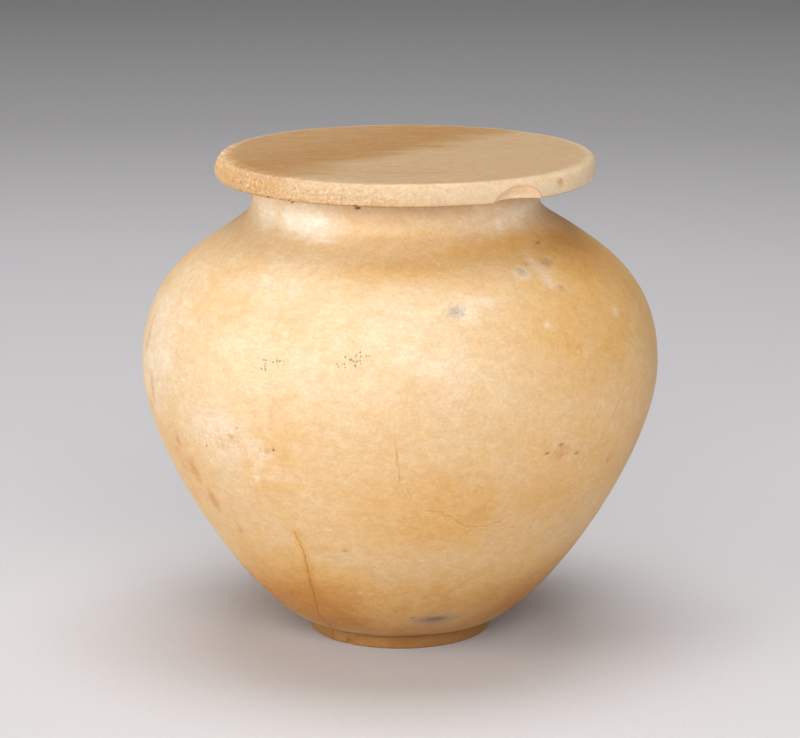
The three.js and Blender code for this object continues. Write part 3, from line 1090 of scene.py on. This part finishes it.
def jar_mesh(s):
    """The jar's shell with its cracks, pits and unevenness."""
    outside = jar_outside(s)
    columns = column_angles(JAR_COLUMNS, JAR_CROWDING)
    mesh = turned_mesh("jar_surface", outside, columns, jar_inside(s))
    first_up = int(np.argmax(outside[:, 1] > 0))
    surface = Surface(outside[first_up - 1 : int(np.argmax(outside[:, 1])) + 1])
    lines = {
        name: surface.wandering_line(places, seed)
        for seed, (name, places) in enumerate(CRACKS.items())
    }
    scratch = surface.wandering_line(SCRATCH, SCRATCH_SEED, SCRATCH_WANDER)
    spots, radii = cluster_spots(surface, PINHOLES, PINHOLE_SEED)

    def near(points, line_reach, spot_reach):
        found = distance_to_spots(points, spots) < spot_reach
        for line in (*lines.values(), scratch):
            found |= distance_to_line(points, line) < line_reach
        return found

    refine(mesh, [
        lambda points: near(points, 0.9 * MM, 0.7 * MM),
        lambda points: near(points, 0.4 * MM, 0.4 * MM),
        lambda points: distance_to_spots(points, spots) < 0.25 * MM,
    ])
    points = read_vertices(mesh, "co")
    normals = read_vertices(mesh, "normal")
    cuts, crack, halo = crack_fields(points, lines)
    pinholes = pinhole_field(points, spots, radii)
    grey = surface.marks(points, GREY_MARKS)
    lift = rough_field(points, BROAD_WAVE, 2) * s.wobble
    lift += rough_field(points, FINE_WAVE, 2, (0.5, 0.5, 1.6), 31.0) * FINE_WAVE_DEPTH
    lift -= cuts + pinholes * PINHOLE_DEPTH
    lift -= grey * np.clip(rough_field(points, GREY_GRAIN, 2), -0.5, 1) * GREY_DEPTH
    drill = np.sin(points[:, 2] / s.drill_step * 2 * math.pi) * DRILL_DEPTH
    is_outside = (points * normals)[:, :2].sum(1) > 0
    lift = np.where(is_outside, lift, drill) * smooth_step(points[:, 2], 0.0, 0.5 * MM)
    height = points[:, 2] / MM
    # Painted shade: the foot and the lowest part of the jar are darkened towards soil, standing for
    # the shade under the body; the foot also gets some soil and more honey colour.
    foot_shade_and_dirt = 1 - smooth_step(height, *FOOT_DARKENING_HEIGHTS)
    low_grime = 0.14 * (1 - smooth_step(height, 4, 16))
    low_honey = 0.9 * (1 - smooth_step(height, 4, 24)) + 0.8 * foot_shade_and_dirt
    soft_scratch = 0.5 * fading(distance_to_line(points, scratch), 0.14 * MM)
    keep_values(
        mesh, crack=crack, pinhole=pinholes, grey=grey,
        rust=surface.marks(points, RUST_MARKS),
        soil=np.maximum(surface.marks(points, SOIL_MARKS), 0.25 * foot_shade_and_dirt),
        # Painted shade from the marks and the low darkening, with some grime on the foot.
        grime=0.34 * foot_shade_and_dirt + low_grime + surface.marks(points, PAINTED_SHADE_MARKS, np.add),
        honey=surface.marks(points, HONEY_AND_GLOW_MARKS, np.add) + low_honey + halo,
        # Pale stone, a soft scratch, and painted highlight on the neck.
        pale=np.maximum(surface.marks(points, PALE_AND_HIGHLIGHT_MARKS), soft_scratch),
    )
    points = points + normals * lift[:, None]
    for angle, chip_height, radius in FOOT_CHIPS:
        reach = s.foot_radius + 0.55 * radius * MM
        points, _ = scoop(points, around(angle, reach, chip_height * MM), radius * MM)
    points[:, 2] = np.maximum(points[:, 2], 0.0)
    set_points(mesh, drift_neck(points, s))
    return mesh


LID_COLUMNS, LID_CROWDING = 440, 2.0
LID_WAVE = 17 * MM
GRANULE, GRANULE_DEPTH = 1.1 * MM, 0.22 * MM
PIT, PIT_DEPTH = 0.6 * MM, 0.5 * MM
WORN_GRAIN = 2.6 * MM
# Strips in from the lid's widest line: where each starts and where it is full.
RIM_STRIP = (4.5 * MM, 1.8 * MM)
WEAR_STRIP = (3.2 * MM, 1.0 * MM)
FINE_STRIP, SEAM_STRIP = 3.5 * MM, 1.5 * MM


def flake_centre(s, centre_x):
    """Centre of the ball whose section by the lid's side is the missing flake."""
    half = s.chip_width / 2
    section = (half**2 + s.chip_height**2) / (2 * s.chip_height)
    reach = s.radius + math.sqrt(s.chip_radius**2 - section**2)
    low = LID_HIGH.z - s.thickness
    return around(FLAKE_ANGLE, reach, low + s.chip_height - section, centre_x)


def lid_mesh(s):
    """The lid's disc with its missing flake, chips and granular edge."""
    centre_x = (LID_HIGH.x + LID_LOW.x) / 2
    outline = lid_outline(s)
    mesh = turned_mesh("lid_surface", outline, column_angles(LID_COLUMNS, LID_CROWDING))
    mesh.transform(Matrix.Translation((centre_x, 0.0, 0.0)))
    low = LID_HIGH.z - s.thickness
    side = outline[(outline[:, 1] > low) & (outline[:, 0] > s.radius - 1.3 * s.upper_edge)]
    surface = Surface(side, centre_x)
    ball = flake_centre(s, centre_x)
    chips = [
        (around(angle, s.radius + 0.2 * radius * MM, height * MM, centre_x), radius * MM)
        for angle, height, radius in LID_CHIPS
    ]

    def from_axis(points):
        return np.linalg.norm(points[:, :2] - [centre_x, 0.0], axis=1)

    def near_edge(points, reach):
        found = np.abs(np.linalg.norm(points - ball, axis=1) - s.chip_radius) < reach
        for centre, radius in chips:
            found |= np.linalg.norm(points - centre, axis=1) < radius + reach
        return found

    def in_granular_rim(points):
        near_rim = from_axis(points) > s.radius - FINE_STRIP
        return near_rim & (surface.marks(points, LID_GRANULAR) > 0.4)

    refine(mesh, [
        lambda points: near_edge(points, 0.7 * MM) | in_granular_rim(points),
        lambda points: near_edge(points, 0.25 * MM),
    ])
    points = read_vertices(mesh, "co")
    normals = read_vertices(mesh, "normal")
    reach = from_axis(points)
    rim, wear = (
        smooth_step(reach, s.radius - start, s.radius - full)
        for start, full in (RIM_STRIP, WEAR_STRIP)
    )
    granular = rim * surface.marks(points, LID_GRANULAR)
    lift = rough_field(points, LID_WAVE, 2) * s.wobble
    lift += granular * rough_field(points, GRANULE, 3, shift=5.0) * GRANULE_DEPTH
    pits = np.clip(rough_field(points, PIT, 2, shift=50.0) - 0.2, 0, 1)
    lift -= granular * pits * PIT_DEPTH
    worn = rim * surface.marks(points, LID_WORN)
    lift -= worn * (0.25 + 0.5 * np.abs(rough_field(points, WORN_GRAIN, 3, shift=3.0))) * MM
    is_underneath = normals[:, 2] < -0.9
    lift = np.where(is_underneath, 0.0, lift)
    upward = smooth_step(normals[:, 2], 0.55, 0.97)
    # Painted light: the lid's side is paler than its top, more so towards the right, for the front
    # light on its rim.
    lit_side_share = (1 - upward) * (normals[:, 2] > -0.5)
    lit_right_share = smooth_step(points[:, 0], -15 * MM, 34 * MM)
    seam = fading(points[:, 2] - low, 0.22 * MM) * (reach > s.radius - SEAM_STRIP)
    from_flake = np.linalg.norm(points - ball, axis=1) - s.chip_radius
    nothing = np.zeros(len(points))
    keep_values(
        mesh, granular=granular, grey=nothing, pinhole=nothing,
        side=(0.22 + 0.68 * lit_right_share) * lit_side_share,
        wear=wear * upward,
        rust=surface.marks(points, LID_RUST_AND_SHADE_MARKS),
        soil=surface.marks(points, LID_SOIL_MARKS),
        # Painted shade with soil along the lid's lower edge.
        grime=0.45 * seam * surface.marks(points, LID_EDGE_SHADE_MARKS),
        honey=rim * surface.marks(points, LID_HONEY),
        # A thin rust-coloured line round the flake's edge, partly painted shade at the lip of the
        # hollow.
        crack=0.75 * fading(from_flake, 0.16 * MM),
    )
    points = points + normals * lift[:, None]
    for centre, radius in chips:
        points, _ = scoop(points, centre, radius)
    points, is_flaked = scoop(points, ball, s.chip_radius)
    keep_values(mesh, flake=is_flaked.astype(float))
    set_points(mesh, points)
    return mesh


# ---- Operators ---------------------------------------------------


class OINTMENTJAR_OT_carve_jar(Operator):
    """Carve the hollow jar, with its foot, neck, cracks and stains"""

    bl_idname = "ointment_jar.carve_jar"
    bl_label = "Carve Jar"

    def execute(self, context):
        mesh = jar_mesh(context.scene.jar_sizes)
        add_piece("jar_stone", mesh, jar_material(context.scene.stone_look), "jar")
        return {"FINISHED"}


class OINTMENTJAR_OT_carve_lid(Operator):
    """Carve the loose disc lid, with its missing flake and worn edge"""

    bl_idname = "ointment_jar.carve_lid"
    bl_label = "Carve Lid"

    def execute(self, context):
        mesh = lid_mesh(context.scene.lid_sizes)
        add_piece("lid_stone", mesh, lid_material(context.scene.stone_look), "lid")
        return {"FINISHED"}


# The paper, in metres: its level part, the bend at its edge and the top of its wall.
PAPER_FLAT, PAPER_BEND, PAPER_TOP = 1.5, 0.5, 1.2
PAPER_SIDES = 96


def add_stage_floor(look):
    """A round paper floor that sweeps up into a wall all round."""
    wall = PAPER_FLAT + PAPER_BEND
    outline = join([
        (straight((0, 0), (PAPER_FLAT, 0)), 0.1),
        (arc((PAPER_FLAT, PAPER_BEND), (PAPER_BEND, PAPER_BEND), -90, 0), 0.06),
        (straight((wall, PAPER_BEND), (wall, PAPER_TOP)), 0.2),
    ])
    angles = np.linspace(-math.pi, math.pi, PAPER_SIDES, endpoint=False)
    points = rings(outline[1:], angles)
    faces = closing_fan(0, 1, PAPER_SIDES, False)
    faces += [face[::-1] for face in ring_faces(1, len(points), PAPER_SIDES)]
    mesh = bpy.data.meshes.new("stage_paper")
    mesh.from_pydata([(0.0, 0.0, 0.0), *points.reshape(-1, 3).tolist()], [], faces)
    mesh.polygons.foreach_set("use_smooth", np.ones(len(mesh.polygons), bool))
    mesh.materials.append(stage_material(look))
    floor = bpy.data.objects.new("stage_floor", mesh)
    bpy.context.scene.collection.objects.link(floor)


# Soft lights: name, place, width, height (metres) and power in watts.
LIGHTS = [
    ("overhead", (0.0, 0.1, 1.1), 0.9, 0.7, 8.8),
    ("left_low", (-1.0, -0.3, 0.22), 0.6, 0.4, 6.5),
    ("left_high", (-0.6, -0.77, 0.68), 0.9, 0.7, 1.4),
    ("front_high", (0.0, -1.0, 0.6), 0.8, 0.4, 5.0),
    ("front_low", (-0.35, -1.0, 0.3), 0.5, 0.4, 1.7),
    ("right_low", (0.66, -0.9, 0.3), 0.55, 0.45, 4.8),
]


def add_light(name, place, aim, width, height, power):
    """A soft rectangular light that faces a point."""
    lamp = bpy.data.lights.new(name, "AREA")
    lamp.shape = "RECTANGLE"
    lamp.size, lamp.size_y = width, height
    lamp.energy = power
    holder = bpy.data.objects.new(name, lamp)
    holder.location = place
    holder.rotation_euler = (Vector(aim) - Vector(place)).to_track_quat("-Z", "Y").to_euler()
    bpy.context.scene.collection.objects.link(holder)


def add_sky(strength):
    """Even light from all round."""
    world = bpy.data.worlds.new("Studio Sky")
    world.use_nodes = True
    backdrop = world.node_tree.nodes["Background"]
    backdrop.inputs["Color"].default_value = (0.95, 0.97, 1.0, 1.0)
    backdrop.inputs["Strength"].default_value = strength
    bpy.context.scene.world = world


def add_camera(look):
    """The camera in front of the jar, looking a little down on it."""
    data = bpy.data.cameras.new("Studio Camera")
    data.lens = look.lens
    data.sensor_width = 36.0
    data.clip_start, data.clip_end = 0.02, 20.0
    camera = bpy.data.objects.new("Studio Camera", data)
    camera.location = (0.0, -look.camera_distance, look.camera_height)
    camera.rotation_euler = (math.pi / 2 - look.camera_pitch, 0.0, 0.0)
    bpy.context.scene.collection.objects.link(camera)
    bpy.context.scene.camera = camera


class OINTMENTJAR_OT_set_stage(Operator):
    """Set the pale floor, the soft lights and the camera"""

    bl_idname = "ointment_jar.set_stage"
    bl_label = "Set Stage"

    def execute(self, context):
        look = context.scene.stage_look
        middle = (0.0, 0.0, JAR_HIGH.z / 2)
        add_stage_floor(look)
        add_sky(look.sky)
        for name, place, width, height, power in LIGHTS:
            add_light(name, place, middle, width, height, power * look.power)
        add_camera(look)
        context.scene.view_settings.view_transform = "Standard"
        return {"FINISHED"}


class OINTMENTJAR_PT_panel(Panel):
    """Buttons for the pieces and the stage"""

    bl_idname = "OINTMENTJAR_PT_panel"
    bl_label = "Ointment Jar"
    bl_space_type = "VIEW_3D"
    bl_region_type = "UI"
    bl_category = "Ointment Jar"

    def draw(self, context):
        for step in STEPS:
            self.layout.operator(step.bl_idname)


STEPS = (OINTMENTJAR_OT_set_stage, OINTMENTJAR_OT_carve_jar, OINTMENTJAR_OT_carve_lid)
SETTINGS = {
    "jar_sizes": JarSizes, "lid_sizes": LidSizes, "stone_look": StoneLook, "stage_look": StageLook,
}
CLASSES = (*SETTINGS.values(), *STEPS, OINTMENTJAR_PT_panel)


def register():
    """Makes the settings, operators and panel known to Blender."""
    for made in CLASSES:
        bpy.utils.register_class(made)
    for name, group in SETTINGS.items():
        setattr(bpy.types.Scene, name, PointerProperty(type=group))


def unregister():
    """Takes them away again."""
    for name in SETTINGS:
        delattr(bpy.types.Scene, name)
    for made in reversed(CLASSES):
        bpy.utils.unregister_class(made)


def main():
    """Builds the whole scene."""
    register()
    bpy.ops.ointment_jar.set_stage()
    bpy.ops.ointment_jar.carve_jar()
    bpy.ops.ointment_jar.carve_lid()


if __name__ == "__main__":
    main()
